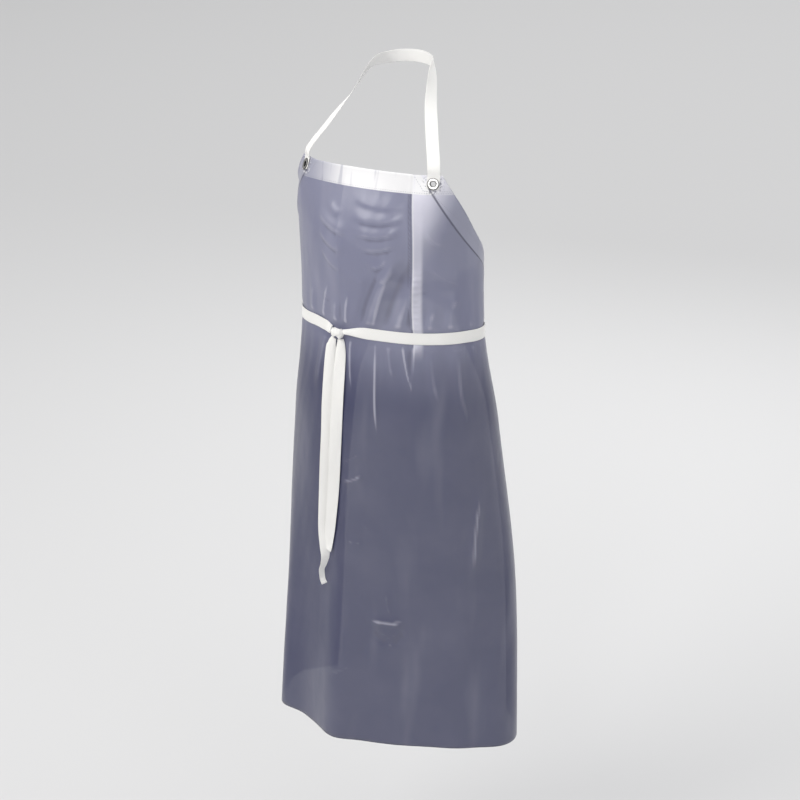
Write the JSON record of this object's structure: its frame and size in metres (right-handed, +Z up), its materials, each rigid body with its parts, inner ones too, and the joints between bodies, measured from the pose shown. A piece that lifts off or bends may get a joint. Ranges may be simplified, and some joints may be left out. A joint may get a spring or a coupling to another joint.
{
  "type": "vinyl bib apron",
  "caption": "Long translucent vinyl bib apron in its worn shape, with a cotton neck strap, metal eyelets and waist ties crossed behind and knotted in front.",
  "frame": {"origin": "middle of the neck strap's inner face at the nape, which the whole apron hangs from", "axes": "+Z up along the apron's length; the wearer faces -Y, and the wearer's left is +X"},
  "size_m": [0.5194, 0.2654, 1.3565],
  "materials": {
    "vinyl": "smooth translucent grey-lilac film, glossy",
    "vinyl_facing": "the same film doubled, paler",
    "cotton_tape": "woven cream-white cotton tape, matt",
    "nickel": "bright nickel plate"
  },
  "bodies": {
    "neck": {"neck_strap": "cotton_tape"},
    "apron": {"vinyl_panel": "vinyl", "top_facing": "vinyl_facing", "armhole_facing_left": "vinyl_facing", "armhole_facing_right": "vinyl_facing", "bib_patch_left": "vinyl_facing", "bib_patch_right": "vinyl_facing", "side_patch_left": "vinyl_facing", "side_patch_right": "vinyl_facing", "bib_eyelet_left": "nickel", "bib_eyelet_right": "nickel", "bib_washer_left": "nickel", "bib_washer_right": "nickel", "side_eyelet_left": "nickel", "side_eyelet_right": "nickel", "side_washer_left": "nickel", "side_washer_right": "nickel", "neck_strap_end_left": "cotton_tape", "neck_strap_end_right": "cotton_tape", "waist_tie_left": "cotton_tape", "waist_tie_right": "cotton_tape", "waist_knot": "cotton_tape"},
    "short_tail": {"tie_tail_short": "cotton_tape"},
    "long_tail": {"tie_tail_long": "cotton_tape"}
  },
  "joints": [
    {"name": "bib_hang", "type": "hinge", "parent": "neck", "child": "apron", "pos_m": [0, -0.1865, -0.1633], "axis": [-1, 0, 0], "range_deg": [-20, 75]},
    {"name": "short_tail_swing", "type": "hinge", "parent": "apron", "child": "short_tail", "pos_m": [-0.0571, -0.2045, -0.4995], "axis": [-0.9826, 0.1859, 0], "range_deg": [0, 85]},
    {"name": "long_tail_swing", "type": "hinge", "parent": "short_tail", "child": "long_tail", "pos_m": [-0.0571, -0.2045, -0.4995], "axis": [-0.9826, 0.1859, 0], "range_deg": [0, 60]}
  ]
}
